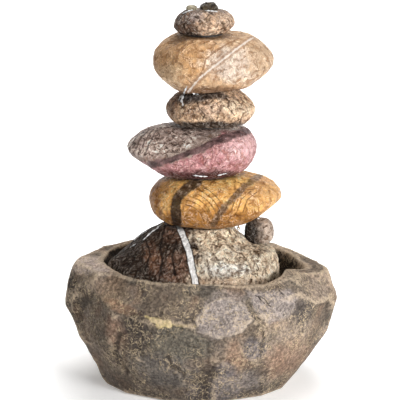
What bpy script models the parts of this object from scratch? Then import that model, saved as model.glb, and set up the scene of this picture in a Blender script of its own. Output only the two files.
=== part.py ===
"""Tabletop water fountain: a stack of cast stones standing in a rough rock basin, over a small pump.

Metres, +Z up. The origin is on the ground under the middle of the basin, and the front is -Y. The
stones are bored for one upright riser tube, which slips over the pump's outlet.
"""

from math import atan2, cos, hypot, pi, radians, sin

import bmesh
import bpy
from mathutils import Vector

MM = 0.001
GAP = 0.3 * MM            # left between pieces that touch
ROUND = 32                # sides of a round piece
SMALL_ROUND = 24          # sides of a small round piece

# Basin
BASIN_BOTTOM = 1.0 * MM   # the pads hold the casting this far off the ground
BASIN_FLOOR = 14.0 * MM   # inside
RIM_HEIGHT = 113.5 * MM
RIM_SLOPE = -0.035        # the rim falls to the right by this much of its length
BASIN_DEPTH_RATIO = 0.94  # front-to-back size over width
PAD_CIRCLE = 62 * MM
PAD_RADIUS = 9 * MM
PAD_THICK = 2 * MM
LEAD_HOLE = Vector((30, 0, 97)) * MM
LEAD_HOLE_RADIUS = 6 * MM
LEAD_FACE_Y = 104 * MM    # the flat that the grommet's flange sits on
LEAD_RADIUS = 3.2 * MM    # room for a mains lead

# Riser, on the axis that every stone is bored on
AXIS_X = 6 * MM
STONE_BORE = 7.2 * MM
TUBE_RADIUS = 6.5 * MM
TUBE_BORE = 5.0 * MM
TUBE_BOTTOM = 52 * MM
TUBE_TOP = 343 * MM

# Stack: the height of each joint between two stones, and the half height of the bed in it
JOINT_HALF = 0.8 * MM
JOINT_BASE = 150.0 * MM
JOINT_OCHRE = 198.0 * MM
JOINT_ROSE = 244.0 * MM
JOINT_BROWN = 277.0 * MM
JOINT_TAN = 327.5 * MM
CROWN_TOP = 349.0 * MM
PEBBLE_CENTRE = Vector((54, 6, 140.8)) * MM
PEBBLE_SEAT = 129.6 * MM
BROWN_TILT = radians(4.5)  # the joint over the brown stone rises to the right

# Pump: its rotor's axis runs front to back
ROTOR_Z = 35 * MM
PUMP_WIDTH = 34 * MM
PUMP_LOW = 19 * MM
PUMP_HIGH = 51 * MM
HOUSING_FRONT = 5.6 * MM
HOUSING_REAR = 38.6 * MM
CASE_WALL = 2.5 * MM
ROTOR_TUBE_BORE = 8.1 * MM
ROTOR_TUBE_RADIUS = 9.5 * MM
SHAFT_RADIUS = 1.25 * MM
NIPPLE_RADIUS = 4.7 * MM
NIPPLE_TOP = 62 * MM


def mm(x, y, z):
    """A point given in millimetres."""
    return Vector((x, y, z)) * MM


# ---------------------------------------------------------------- scene, materials, objects

def collection(name):
    made = bpy.data.collections.new(name)
    bpy.context.scene.collection.children.link(made)
    return made


def material(name, colour, roughness, metallic=0.0):
    made = bpy.data.materials.new(name)
    made.use_nodes = True
    shader = made.node_tree.nodes["Principled BSDF"]
    shader.inputs["Base Color"].default_value = (*colour, 1.0)
    shader.inputs["Roughness"].default_value = roughness
    shader.inputs["Metallic"].default_value = metallic
    return made


def add(name, bm, look, smooth_angle=40):
    """Makes the object of one piece from a bmesh, with its faces pointing out."""
    bmesh.ops.recalc_face_normals(bm, faces=bm.faces)
    mesh = bpy.data.meshes.new(name)
    bm.to_mesh(mesh)
    bm.free()
    mesh.shade_smooth()
    mesh.set_sharp_from_angle(angle=radians(smooth_angle))
    if look is not None:
        mesh.materials.append(look)
    made = bpy.data.objects.new(name, mesh)
    (CUTTERS if look is None else PARTS).objects.link(made)
    if look is None:
        made.hide_render = True
        made.display_type = "WIRE"
    return made


def boolean(target, tool, operation="DIFFERENCE"):
    step = target.modifiers.new(tool.name, "BOOLEAN")
    step.operation = operation
    step.solver = "EXACT"
    step.object = tool


def cut(target, *tools):
    for tool in tools:
        boolean(target, tool)


# ---------------------------------------------------------------- primitive shapes

def box(name, low, high, look=None, bevel=0.0):
    """A block between two corners, with its edges rounded by bevel."""
    low, high = Vector(low), Vector(high)
    bm = bmesh.new()
    bmesh.ops.create_cube(bm, size=1.0)
    bmesh.ops.scale(bm, vec=high - low, verts=bm.verts)
    bmesh.ops.translate(bm, vec=(low + high) / 2, verts=bm.verts)
    made = add(name, bm, look)
    if bevel:
        step = made.modifiers.new("rounded edges", "BEVEL")
        step.width = bevel
        step.segments = 2
    return made


def bar(name, radius, start, end, look=None, sides=SMALL_ROUND, end_radius=None):
    """A round bar or a cone from start to end."""
    start, end = Vector(start), Vector(end)
    axis = end - start
    bm = bmesh.new()
    bmesh.ops.create_cone(
        bm, cap_ends=True, segments=sides, radius1=radius,
        radius2=radius if end_radius is None else end_radius, depth=axis.length,
    )
    made = add(name, bm, look)
    made.location = (start + end) / 2
    made.rotation_euler = axis.to_track_quat("Z", "Y").to_euler()
    return made


def turned(name, profile, look=None, at=(0, 0, 0), turn=(0, 0, 0), sides=ROUND):
    """A turned piece. The profile is (radius, height) points down its outer side and up its inner side."""
    bm = bmesh.new()
    points = [bm.verts.new((r, 0, z)) for r, z in profile]
    for first, second in zip(points, points[1:]):
        bm.edges.new((first, second))
    closed = all(r > 0 for r, z in profile)
    if closed:
        bm.edges.new((points[-1], points[0]))
    mesh = bpy.data.meshes.new(name)
    bm.to_mesh(mesh)
    bm.free()
    made = bpy.data.objects.new(name, mesh)
    (CUTTERS if look is None else PARTS).objects.link(made)
    if look is None:
        made.hide_render = True
        made.display_type = "WIRE"
    else:
        mesh.materials.append(look)
    step = made.modifiers.new("turned", "SCREW")
    step.angle = 2 * pi
    step.steps = sides
    step.render_steps = sides
    step.use_smooth_shade = True
    step.use_merge_vertices = True
    step.merge_threshold = 0.00001
    made.location = at
    made.rotation_euler = turn
    return made


# ---------------------------------------------------------------- stones

def smooth_loop(points, share):
    """The point at this share (0 to 1) of the way round a closed smooth curve through the points."""
    place = (share % 1.0) * len(points)
    first = int(place)
    t = place - first
    a, b, c, d = (Vector(points[(first + k) % len(points)]) for k in (-1, 0, 1, 2))
    straight = 2 * b + (c - a) * t
    curved = (2 * a - 5 * b + 4 * c - d) * t ** 2 + (3 * b - a - 3 * c + d) * t ** 3
    return (straight + curved) / 2


def slice_off(bm, point, normal):
    """Cuts off what lies beyond a plane and closes the cut with one flat face."""
    cut_result = bmesh.ops.bisect_plane(
        bm, geom=bm.verts[:] + bm.edges[:] + bm.faces[:], dist=0.00001,
        plane_co=point, plane_no=normal, clear_outer=True,
    )
    rim = [item for item in cut_result["geom_cut"] if isinstance(item, bmesh.types.BMEdge)]
    if rim:
        bmesh.ops.holes_fill(bm, edges=rim, sides=0)


def seat(height, tilt=0.0, x=0.0):
    """The plane of a joint between two stones, as a point and an upward normal."""
    return Vector((x, 0, height)), Vector((-sin(tilt), 0, cos(tilt)))


def flat_at(height):
    """The joint plane that leaves a stone's flat top at this height."""
    return seat(height + JOINT_HALF + GAP)


def rest_at(height):
    """The joint plane that leaves a stone's flat underside at this height."""
    return seat(height - JOINT_HALF - GAP)


def river_stone(name, outline, centre, depth, look, top=None, bottom=None, fullness=0.86, sides=28):
    """A water-worn stone: its outline from the front, in millimetres about its centre, blown out to a depth.

    A sphere with its poles at the front and back is drawn over the outline. Fullness under 1 makes the
    cross-sections squarer than ellipses. Top and bottom are the joint planes that flatten it.
    """
    bm = bmesh.new()
    bmesh.ops.create_uvsphere(bm, u_segments=sides, v_segments=sides // 2, radius=1.0)
    for vertex in bm.verts:
        x, y, z = vertex.co
        around = atan2(y, x) / (2 * pi)
        reach = hypot(x, y)
        edge = smooth_loop(outline, around) * MM * reach ** fullness
        front_to_back = depth * abs(z) ** fullness * (1 if z > 0 else -1)
        vertex.co = Vector(centre) + Vector((edge.x, -front_to_back, edge.y))
    if top:
        slice_off(bm, top[0] - top[1] * (JOINT_HALF + GAP), top[1])
    if bottom:
        slice_off(bm, bottom[0] + bottom[1] * (JOINT_HALF + GAP), -bottom[1])
    return add(name, bm, look, smooth_angle=50)


def riser_bore(name):
    return bar("bore of " + name, STONE_BORE, (AXIS_X, 0, 100 * MM), (AXIS_X, 0, 400 * MM))


def bored_stone(name, outline, centre, depth, look, **more):
    made = river_stone(name, outline, centre, depth, look, **more)
    cut(made, riser_bore(name))
    return made


def joint_bed(number, plane, radius, centre_x, look):
    """The ring of dark sealant in the joint between two stones."""
    point, normal = plane
    middle = Vector((centre_x, 0, point.z + (centre_x - point.x) * -normal.x / normal.z))
    name = f"joint_bed_{number}"
    made = bar(name, radius, middle - normal * JOINT_HALF, middle + normal * JOINT_HALF, look, ROUND)
    cut(made, riser_bore(name))


def ring_points(bm, height, left, right, front, back, count, squareness=1.0):
    """One level ring whose reach differs to the left, right, front and back."""
    ring = []
    for k in range(count):
        angle = 2 * pi * k / count
        c, s = cos(angle), sin(angle)
        across = (right if c > 0 else left) * abs(c) ** squareness * (1 if c > 0 else -1)
        along = (back if s > 0 else front) * abs(s) ** squareness * (1 if s > 0 else -1)
        ring.append(bm.verts.new((across, along, height)))
    return ring


def loft(name, rings, look, count=36, squareness=1.0):
    """A closed solid through level rings from the top down, in mm: (height, left, right, front, back)."""
    bm = bmesh.new()
    levels = [ring_points(bm, *(value * MM for value in ring), count, squareness) for ring in rings]
    for upper, lower in zip(levels, levels[1:]):
        for k in range(count):
            after = (k + 1) % count
            bm.faces.new((upper[k], lower[k], lower[after], upper[after]))
    bm.faces.new(levels[0])
    bm.faces.new(reversed(levels[-1]))
    return add(name, bm, look, smooth_angle=50)


# ---------------------------------------------------------------- basin

BASIN_PROFILE = (  # millimetres: height, radius, down the outside
    (124, 108), (108, 116), (92, 124), (76, 128), (60, 124.5), (44, 117), (28, 108.5), (13, 100.5), (1, 93),
)
BASIN_HOLLOW = (  # height, left, right, front, back
    (140, 91, 93, 90, 88), (112, 91, 93, 90, 88), (104, 89.5, 91, 88, 86.5), (60, 89, 90, 86, 86),
    (34, 84, 85, 81, 81), (20, 77, 78, 75, 75), (14, 69, 70, 68, 68),
)
# Each facet: degrees from the front towards the right, millimetres out and up, and degrees of upward tilt
UPPER_FACETS = (
    (-25, 110.5, 92, 38), (11, 110, 86, 34), (36, 109, 101, 52), (62, 113, 99, 40), (90, 113.5, 103, 35),
    (98, 122, 85, 14), (-60, 118, 103, 14), (-88, 121, 95, 15), (-90, 115, 110, 34), (-112, 114, 98, 30),
    (-138, 109, 96, 36), (-166, 106, 98, 33), (170, 108, 92, 40), (143, 109, 98, 30), (122, 112, 95, 38),
)
BELLY_FACETS = (
    (-42, 116, 74, -4), (-16, 110.5, 66, -13), (16, 110, 62, -8), (38, 114, 74, 8), (58, 119, 66, -8),
    (84, 122, 63, -14), (-68, 121, 70, -5), (-93, 123, 65, -15), (-120, 117, 70, -4), (-148, 115.5, 68, -9),
    (176, 115.4, 72, -5), (150, 117, 66, -12), (124, 117, 72, -2),
)
LOWER_FACETS = (
    (-55, 105, 34, -27), (-30, 100, 30, -32), (-4, 98, 29, -29), (24, 97.5, 28, -34), (48, 102, 33, -31),
    (72, 107, 36, -34), (100, 106, 33, -30), (-82, 107.5, 33, -25), (-108, 105.5, 30, -28),
    (-136, 100, 30, -33), (-163, 98, 28, -30), (168, 98, 30, -34), (140, 100, 31, -30),
)


def chisel_basin(bm):
    """Knocks the flat facets of a rough-hewn rock off the turned blank, then slopes its rim."""
    for azimuth, reach, height, tilt in UPPER_FACETS + BELLY_FACETS + LOWER_FACETS:
        a, t = radians(azimuth), radians(tilt)
        point = Vector((sin(a) * reach, -cos(a) * reach, height)) * MM
        slice_off(bm, point, Vector((sin(a) * cos(t), -cos(a) * cos(t), sin(t))))
    slice_off(bm, (0, 0, RIM_HEIGHT), Vector((-RIM_SLOPE, 0, 1)).normalized())


def basin(look):
    bm = bmesh.new()
    levels = []
    for height, radius in BASIN_PROFILE:
        reach = (radius, radius, radius * BASIN_DEPTH_RATIO, radius * BASIN_DEPTH_RATIO)
        levels.append(ring_points(bm, height * MM, *(r * MM for r in reach), 48))
    for upper, lower in zip(levels, levels[1:]):
        for k in range(48):
            after = (k + 1) % 48
            bm.faces.new((upper[k], lower[k], lower[after], upper[after]))
    bm.faces.new(levels[0])
    bm.faces.new(reversed(levels[-1]))
    bmesh.ops.recalc_face_normals(bm, faces=bm.faces)
    chisel_basin(bm)
    bmesh.ops.remove_doubles(bm, verts=bm.verts, dist=0.0005)
    bmesh.ops.dissolve_degenerate(bm, edges=bm.edges, dist=0.0002)
    bmesh.ops.triangulate(bm, faces=[face for face in bm.faces if len(face.verts) > 4])
    made = add("basin", bm, look, smooth_angle=25)
    cut(made, loft("basin hollow", BASIN_HOLLOW, None, count=40))
    for number, centre in enumerate(pad_centres(), 1):
        recess_top = centre + Vector((0, 0, BASIN_BOTTOM + 1.3 * MM))
        cut(made, bar(f"pad recess {number}", PAD_RADIUS + GAP, centre - mm(0, 0, 10), recess_top))
    hole = LEAD_HOLE
    cut(made, bar("grommet flat", 10 * MM, (hole.x, LEAD_FACE_Y, hole.z), (hole.x, 0.14, hole.z)))
    cut(made, bar("lead hole", LEAD_HOLE_RADIUS, (hole.x, 0.07, hole.z), (hole.x, 0.14, hole.z)))


def pad_centres():
    reach = PAD_CIRCLE * cos(pi / 4)
    return [Vector((x * reach, y * reach, 0)) for x in (-1, 1) for y in (-1, 1)]


def foot_pads(look):
    for number, centre in enumerate(pad_centres(), 1):
        bar(f"foot_pad_{number}", PAD_RADIUS, centre, centre + Vector((0, 0, PAD_THICK)), look)


def cable_grommet(look):
    """A flanged rubber sleeve in the rear wall, for the mains lead."""
    flange, barrel = 8.5 * MM, LEAD_HOLE_RADIUS - GAP
    front, back, inner = GAP, 2.2 * MM, -15 * MM
    outside = [(flange, back), (flange, front), (barrel, front), (barrel, inner)]
    turned(
        "cable_grommet", outside + [(LEAD_RADIUS, inner), (LEAD_RADIUS, back)],
        look, at=(LEAD_HOLE.x, LEAD_FACE_Y, LEAD_HOLE.z), turn=(-pi / 2, 0, 0), sides=SMALL_ROUND,
    )


# ---------------------------------------------------------------- pump

def pump_housing(look):
    """The motor case: open at the rear, with a blind tube for the rotor moulded to its front wall."""
    half = PUMP_WIDTH / 2
    inner = half - CASE_WALL
    front, rear = HOUSING_FRONT, HOUSING_REAR
    low = (AXIS_X - half, front, PUMP_LOW)
    high = (AXIS_X + half, rear, PUMP_HIGH)
    made = box("pump_housing", low, high, look, 1.5 * MM)
    cut(made, box(
        "case room", (AXIS_X - inner, front + 3 * MM, PUMP_LOW + CASE_WALL),
        (AXIS_X + inner, rear + 5 * MM, PUMP_HIGH - CASE_WALL),
    ))
    boolean(made, bar("rotor tube", ROTOR_TUBE_RADIUS, on_rotor_axis(6.6), on_rotor_axis(24.5)), "UNION")
    cut(
        made,
        bar("rotor tube bore", ROTOR_TUBE_BORE, on_rotor_axis(4), on_rotor_axis(23)),
        bar("gasket seat", 13 * MM, on_rotor_axis(4), on_rotor_axis(6.8)),
    )
    for number, (x, y) in enumerate(cup_centres(), 1):
        cut(made, bar(f"cup recess {number}", 2.8 * MM, (x, y, 0.01), (x, y, PUMP_LOW + 1.2 * MM), sides=16))


def on_rotor_axis(y):
    """The point of the rotor's axis at this many millimetres from front to back."""
    return Vector((AXIS_X, y * MM, ROTOR_Z))


def cup_centres():
    return [(AXIS_X + x * MM, y * MM) for x in (-10, 10) for y in (13, 31)]


def suction_cups(look):
    low = BASIN_FLOOR + GAP
    top = PUMP_LOW + 0.9 * MM
    stem, lip = 2.5 * MM, 7 * MM
    profile = [(0, top), (stem, top), (stem, low + 2.6 * MM), (lip, low + 0.9 * MM), (lip, low), (0, low)]
    for number, (x, y) in enumerate(cup_centres(), 1):
        turned(f"suction_cup_{number}", profile, look, at=(x, y, 0), sides=16)


def rotor_pieces(magnet_look, plastic, ceramic, rubber):
    """The magnet and the impeller turn on a fixed shaft held between two rubber bushes."""
    at = on_rotor_axis
    running_bore = SHAFT_RADIUS + 0.1 * MM
    magnet = bar("rotor_magnet", 7.4 * MM, at(8), at(21), magnet_look)
    cut(magnet, bar("magnet bore", running_bore, at(7), at(22)))
    impeller = bar("impeller", 4 * MM, at(-1.5), at(7.7), plastic)
    for number in range(3):
        blade = box(f"blade pair {number}", mm(-8.6, -1, -0.8), mm(8.6, 4.2, 0.8))
        blade.location = at(0)
        blade.rotation_euler = (0, pi * number / 3, 0)
        boolean(impeller, blade, "UNION")
    cut(impeller, bar("impeller bore", running_bore, at(-3), at(9)))
    bar("rotor_shaft", SHAFT_RADIUS, at(-3.9), at(22.7), ceramic)
    for name, start, end in (("shaft_bush_rear", 21.3, 22.7), ("shaft_bush_front", -3.7, -1.9)):
        bush = bar(name, 2.6 * MM, at(start), at(end), rubber)
        cut(bush, bar("hole of " + name, SHAFT_RADIUS + GAP, at(start - 1), at(end + 1)))


def motor_pieces(steel, copper, nylon, resin):
    """The laminated core straddles the rotor tube, with the coil on its yoke, behind a plug of resin."""
    def block(name, half_x, half_z, start, end, look=None):
        return box(
            name, (AXIS_X - half_x * MM, start * MM, ROTOR_Z - half_z * MM),
            (AXIS_X + half_x * MM, end * MM, ROTOR_Z + half_z * MM), look,
        )
    core = block("stator_core", 14.1, 5, 9.2, 32.3, steel)
    cut(core, block("core slot", 10, 20, 5, 28.7))
    bobbin = block("coil_bobbin", 8.5, 9.5, 25.4, 35.6, nylon)
    cut(bobbin, block("bobbin window", 20, 5.3, 28.4, 32.6))
    waist = block("bobbin waist", 7.5, 20, 20, 40)
    cut(waist, block("waist core", 9, 6.2, 27.6, 33.4))
    cut(bobbin, waist)
    winding = block("coil_winding", 7.2, 9.2, 25.7, 35.3, copper)
    cut(winding, block("winding window", 9, 6.5, 27.3, 33.7))
    plug = block("potting_plug", 14.2, 13.2, 35.9, 38.3, resin)
    cut(plug, bar("plug hole", LEAD_RADIUS, (AXIS_X, 0.03, ROTOR_Z), (AXIS_X, 0.05, ROTOR_Z)))


def pump_cable_gland(look):
    """The tapered boss on the resin plug that the lead leaves by."""
    turned(
        "pump_cable_gland",
        [(3.8 * MM, 8 * MM), (5.5 * MM, 0), (LEAD_RADIUS, 0), (LEAD_RADIUS, 8 * MM)],
        look, at=(AXIS_X, 38.6 * MM, ROTOR_Z), turn=(-pi / 2, 0, 0), sides=SMALL_ROUND,
    )


def impeller_cover(look, rubber):
    """The pump chamber in front of the motor, with the outlet nipple on top and a three-armed inlet eye."""
    at = on_rotor_axis
    low = (AXIS_X - 15 * MM, -4.5 * MM, PUMP_LOW + 2 * MM)
    high = (AXIS_X + 15 * MM, HOUSING_FRONT - GAP, PUMP_HIGH - 2 * MM)
    made = box("impeller_cover", low, high, look, 1 * MM)
    boolean(made, bar("nipple", NIPPLE_RADIUS, (AXIS_X, 0, 47 * MM), (AXIS_X, 0, NIPPLE_TOP)), "UNION")
    cut(
        made,
        bar("chamber", 11 * MM, at(-1.6), at(9)),
        bar("nipple bore", 3.2 * MM, (AXIS_X, 0, ROTOR_Z), (AXIS_X, 0, NIPPLE_TOP + 5 * MM)),
        bar("front bush seat", 2.6 * MM + GAP, at(-4.1), at(0)),
    )
    for number in range(3):
        angle = 2 * pi * number / 3 + pi / 6
        x, z = AXIS_X + 5.6 * MM * cos(angle), ROTOR_Z + 5.6 * MM * sin(angle)
        cut(made, bar(f"inlet eye {number}", 2 * MM, (x, -9 * MM, z), (x, 0, z), sides=12))
    gasket = bar("cover_gasket", 12.6 * MM, at(5.75), at(6.5), rubber)
    cut(gasket, bar("gasket hole", 11.2 * MM, at(5), at(7)))


def cover_block(name, half_x, low_y, high_y, low_z, high_z, look=None, bevel=0.0, x=0.0):
    """A block about the pump's middle plane, in millimetres."""
    middle = AXIS_X / MM + x
    return box(name, mm(middle - half_x, low_y, low_z), mm(middle + half_x, high_y, high_z), look, bevel)


def windows(name):
    """The two round flow windows, the same in the cover and in the dial."""
    made = []
    for side in (-1, 1):
        across = mm(6 * side, 0, 0)
        front, back = on_rotor_axis(-25) + across, on_rotor_axis(-13) + across
        made.append(bar(f"{name} window {side}", 3 * MM, front, back))
    return made


def intake_cover(plastic):
    """The slotted front that slips over the pump chamber and pulls off forwards."""
    half_x, front, wall = 17, -17, 1.6
    low, high = PUMP_LOW / MM, PUMP_HIGH / MM
    made = cover_block("intake_cover", half_x, front, -1.5, low, high, plastic, 1.5 * MM)
    cut(made, cover_block("cover room", half_x - wall, front + 2, 0, low + wall, high - wall))
    cut(made, cover_block("nipple notch", 5.2, -5.4, 0, high - 5, high + 5))
    for side in (-1, 1):
        for number in range(4):
            z = 25 + 6 * number
            cut(made, cover_block(f"slot {side} {number}", 4, -14, -6, z, z + 2.4, x=side * half_x))
    cut(made, *windows("cover"))
    cut(made, bar("rivet hole", 1.8 * MM, on_rotor_axis(-20), on_rotor_axis(-10)))


def flow_dial(dial_look, rivet_look):
    """The plate that turns in front of the cover's windows to throttle the flow, and its rivet."""
    at = on_rotor_axis
    dial = bar("flow_dial", 10.5 * MM, at(-19.1), at(-17.3), dial_look)
    boolean(dial, cover_block("dial lever", 1.5, -21.5, -18, 39, 44), "UNION")
    cut(dial, *windows("dial"))
    cut(dial, bar("dial bore", 1.6 * MM, at(-25), at(-15), sides=16))
    head, stem = 2.6 * MM, 1.5 * MM
    top, shoulder, tail = 2.4 * MM, 2.1 * MM, -2.2 * MM
    profile = [(0, top), (head, top), (head, shoulder), (stem, shoulder), (stem, tail), (0, tail)]
    turned("dial_rivet", profile, rivet_look, at=at(-17.3), turn=(pi / 2, 0, 0), sides=16)


# ---------------------------------------------------------------- tower

BASE_RINGS = (  # the base stone, in millimetres: height, left, right, front, back
    (160, 14, 12, 10, 10), (150.5, 34, 26, 22, 24), (146, 43, 30, 28, 29), (140, 54, 36, 35, 34),
    (133, 63, 45, 43, 41), (129, 67, 58, 47, 44), (124, 72, 69, 51, 47), (116, 82, 72.5, 60, 53),
    (110, 86, 73.5, 67, 57), (98, 82, 73, 72, 60), (70, 75, 71, 71, 61), (40, 69, 68, 68, 61),
    (14.3, 63, 63, 62, 58),
)
BASE_CHAMBER = (  # the room under it for the pump
    (106, 24, 24, 24, 24), (96, 36, 36, 36, 34), (58, 50, 50, 50, 48.5), (0, 51, 51, 51, 49),
)


def base_stone(look):
    made = loft("base_stone", BASE_RINGS, look, count=36)
    bm = bmesh.new()
    bm.from_mesh(made.data)
    slice_off(bm, (0, 0, JOINT_BASE - JOINT_HALF - GAP), (0, 0, 1))
    bm.to_mesh(made.data)
    bm.free()
    cut(made, loft("pump room", BASE_CHAMBER, None, count=32), riser_bore("base_stone"))
    hollow = PEBBLE_CENTRE.copy()
    hollow.z = PEBBLE_SEAT
    cut(made, bar("pebble hollow", 13 * MM, hollow, hollow + mm(0, 0, 30), end_radius=22 * MM))
    for azimuth in (-52, 40, 172):
        a = radians(azimuth)
        cut(made, bar(
            f"water notch {azimuth}", 7 * MM, (sin(a) * 40 * MM, -cos(a) * 40 * MM, BASIN_FLOOR + 1 * MM),
            (sin(a) * 95 * MM, -cos(a) * 95 * MM, BASIN_FLOOR + 1 * MM), sides=16,
        ))


def stack(looks):
    """The stones over the base, from the bottom up. Outlines run anticlockwise from the right-hand tip."""
    base = seat(JOINT_BASE)
    over_ochre = seat(JOINT_OCHRE)
    over_rose = seat(JOINT_ROSE)
    over_brown = seat(JOINT_BROWN, BROWN_TILT, AXIS_X)
    over_tan = seat(JOINT_TAN)
    bored_stone(
        "ochre_stone",
        [(62, 3), (56, 15), (36, 22.5), (14, 27), (-18, 28), (-44, 22), (-60, 9), (-61, -4), (-53, -16),
         (-34, -23), (-8, -25), (18, -23), (40, -16.5), (56, -9.5)],
        mm(12.5, 0, 172.5), 51 * MM, looks["ochre"], top=over_ochre, bottom=base,
    )
    bored_stone(
        "rose_stone",
        [(60, 6), (55, 17), (40, 24), (12, 26), (-20, 24), (-44, 18.5), (-57, 9), (-60, 2), (-52, -7),
         (-40, -15), (-27, -22), (-4, -25.5), (22, -25.5), (46, -19), (57, -7)],
        mm(-9, 0, 219), 49 * MM, looks["rose"], top=over_rose, bottom=over_ochre,
    )
    bored_stone(
        "brown_stone",
        [(41.5, 1), (36, 10.5), (24, 19), (0, 22), (-23, 18), (-37, 9), (-41, 0.5), (-37, -8.5), (-24, -16.5),
         (0, -19.5), (24, -17), (37, -9)],
        mm(8, 0, 258), 36 * MM, looks["brown"], top=over_brown, bottom=over_rose,
    )
    bored_stone(
        "tan_stone",
        [(56, 3), (50, 13), (37, 22.5), (16, 29), (-12, 30.5), (-34, 26), (-50, 16), (-55.5, 3), (-54, -8),
         (-45, -18.5), (-31, -27), (-10, -30), (16, -27.5), (38, -20), (52, -8)],
        mm(10.7, 0, 302), 47 * MM, looks["tan"], top=over_tan, bottom=over_brown,
    )
    bored_stone(
        "crown_stone",
        [(28.5, 0), (25.2, 7), (15.5, 11.7), (0, 13.5), (-15, 11.7), (-24.8, 6), (-28, -2), (-24, -8.5),
         (-13, -13), (4, -14), (18, -11.5), (26.3, -5.5)],
        mm(2, 0, 338), 24 * MM, looks["crown"], top=flat_at(CROWN_TOP), bottom=over_tan, sides=24,
    )
    beds = (
        (base, 22 * MM, -1 * MM), (over_ochre, 27 * MM, 2 * MM), (over_rose, 22 * MM, 6 * MM),
        (over_brown, 16 * MM, 7 * MM), (over_tan, 16 * MM, 3 * MM),
    )
    for number, (plane, radius, centre_x) in enumerate(beds, 1):
        joint_bed(number, plane, radius, centre_x, looks["sealant"])


def side_pebble(look):
    """The rounded block that stands on the base stone's shoulder, clear of the stack."""
    river_stone(
        "side_pebble",
        [(14.2, -1), (12, 8), (5, 12), (-5, 12), (-12, 7.5), (-14, -1), (-12.5, -9), (-5, -13), (5, -13),
         (12, -9)],
        PEBBLE_CENTRE, 13.5 * MM, look, bottom=rest_at(PEBBLE_SEAT + GAP), sides=20,
    )


def top_pieces(looks):
    """What the water comes out of: a bored dark rock over the tube's end, and a pale pebble beside it."""
    underside = rest_at(CROWN_TOP + GAP)
    spout = river_stone(
        "spout_rock",
        [(8.5, -1), (8, 3.5), (3, 4.7), (-3, 4.8), (-8, 3), (-8.6, -1.5), (-7.5, -5), (0, -6), (7.5, -5)],
        (AXIS_X + 0.8 * MM, -1 * MM, 353.0 * MM), 7 * MM, looks["dark"],
        bottom=underside, sides=20,
    )
    cut(spout, bar("spout bore", 2.8 * MM, (AXIS_X, 0, 0.34), (AXIS_X, 0, 0.38), sides=16))
    river_stone(
        "cap_pebble",
        [(5.2, 0), (4, 2), (0, 2.8), (-4, 2), (-5.4, -0.4), (-4, -2.6), (0, -3.4), (4, -2.6)],
        mm(-9, -2, 351.4), 4.5 * MM, looks["pale"], bottom=underside, sides=16,
    )


def riser(tube_look, nozzle_look):
    outside = [(TUBE_RADIUS, TUBE_TOP), (TUBE_RADIUS, TUBE_BOTTOM)]
    inside = [(TUBE_BORE, TUBE_BOTTOM), (TUBE_BORE, TUBE_TOP)]
    turned("riser_tube", outside + inside, tube_look, at=(AXIS_X, 0, 0), sides=SMALL_ROUND)
    spigot, collar, bore = TUBE_BORE - GAP, TUBE_RADIUS, 2.8 * MM
    low, shoulder, top = TUBE_TOP - 9 * MM, TUBE_TOP + GAP, CROWN_TOP
    turned(
        "outlet_nozzle",
        [(collar, top), (collar, shoulder), (spigot, shoulder), (spigot, low), (bore, low), (bore, top)],
        nozzle_look, at=(AXIS_X, 0, 0), sides=SMALL_ROUND,
    )


# ---------------------------------------------------------------- the whole fountain

def looks():
    return {
        "basin": material("basin rock", (0.20, 0.15, 0.115), 0.85),
        "base": material("veined stone", (0.30, 0.24, 0.19), 0.4),
        "ochre": material("ochre stone", (0.62, 0.33, 0.12), 0.35),
        "rose": material("rose stone", (0.50, 0.27, 0.26), 0.35),
        "brown": material("brown stone", (0.50, 0.34, 0.23), 0.4),
        "tan": material("tan stone", (0.68, 0.50, 0.36), 0.4),
        "crown": material("crown stone", (0.40, 0.28, 0.20), 0.4),
        "grey": material("grey pebble", (0.36, 0.29, 0.24), 0.5),
        "dark": material("dark rock", (0.06, 0.045, 0.03), 0.4),
        "pale": material("pale pebble", (0.42, 0.38, 0.28), 0.5),
        "sealant": material("dark sealant", (0.03, 0.025, 0.022), 0.5),
        "pad": material("foot pad rubber", (0.05, 0.05, 0.05), 0.9),
        "rubber": material("black rubber", (0.03, 0.03, 0.03), 0.7),
        "case": material("pump plastic", (0.02, 0.02, 0.022), 0.45),
        "dial": material("dial plastic", (0.05, 0.16, 0.30), 0.4),
        "rotor": material("impeller plastic", (0.75, 0.75, 0.72), 0.35),
        "magnet": material("ferrite", (0.04, 0.04, 0.045), 0.5, 0.3),
        "ceramic": material("white ceramic", (0.85, 0.84, 0.80), 0.2),
        "steel": material("core laminations", (0.35, 0.35, 0.36), 0.4, 1.0),
        "copper": material("enamelled copper", (0.55, 0.22, 0.09), 0.35, 1.0),
        "nylon": material("bobbin nylon", (0.70, 0.68, 0.60), 0.5),
        "resin": material("potting resin", (0.03, 0.03, 0.035), 0.3),
        "tube": material("clear vinyl", (0.75, 0.80, 0.80), 0.15),
        "nozzle": material("nozzle plastic", (0.03, 0.03, 0.03), 0.35),
    }


def build():
    look = looks()
    basin(look["basin"])
    foot_pads(look["pad"])
    cable_grommet(look["rubber"])
    pump_housing(look["case"])
    suction_cups(look["rubber"])
    rotor_pieces(look["magnet"], look["rotor"], look["ceramic"], look["rubber"])
    motor_pieces(look["steel"], look["copper"], look["nylon"], look["resin"])
    pump_cable_gland(look["rubber"])
    impeller_cover(look["case"], look["rubber"])
    intake_cover(look["case"])
    flow_dial(look["dial"], look["case"])
    base_stone(look["base"])
    stack(look)
    side_pebble(look["grey"])
    top_pieces(look)
    riser(look["tube"], look["nozzle"])


for item in list(bpy.data.objects):
    bpy.data.objects.remove(item, do_unlink=True)
PARTS = collection("tabletop_fountain")
CUTTERS = collection("cutters")
build()
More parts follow.
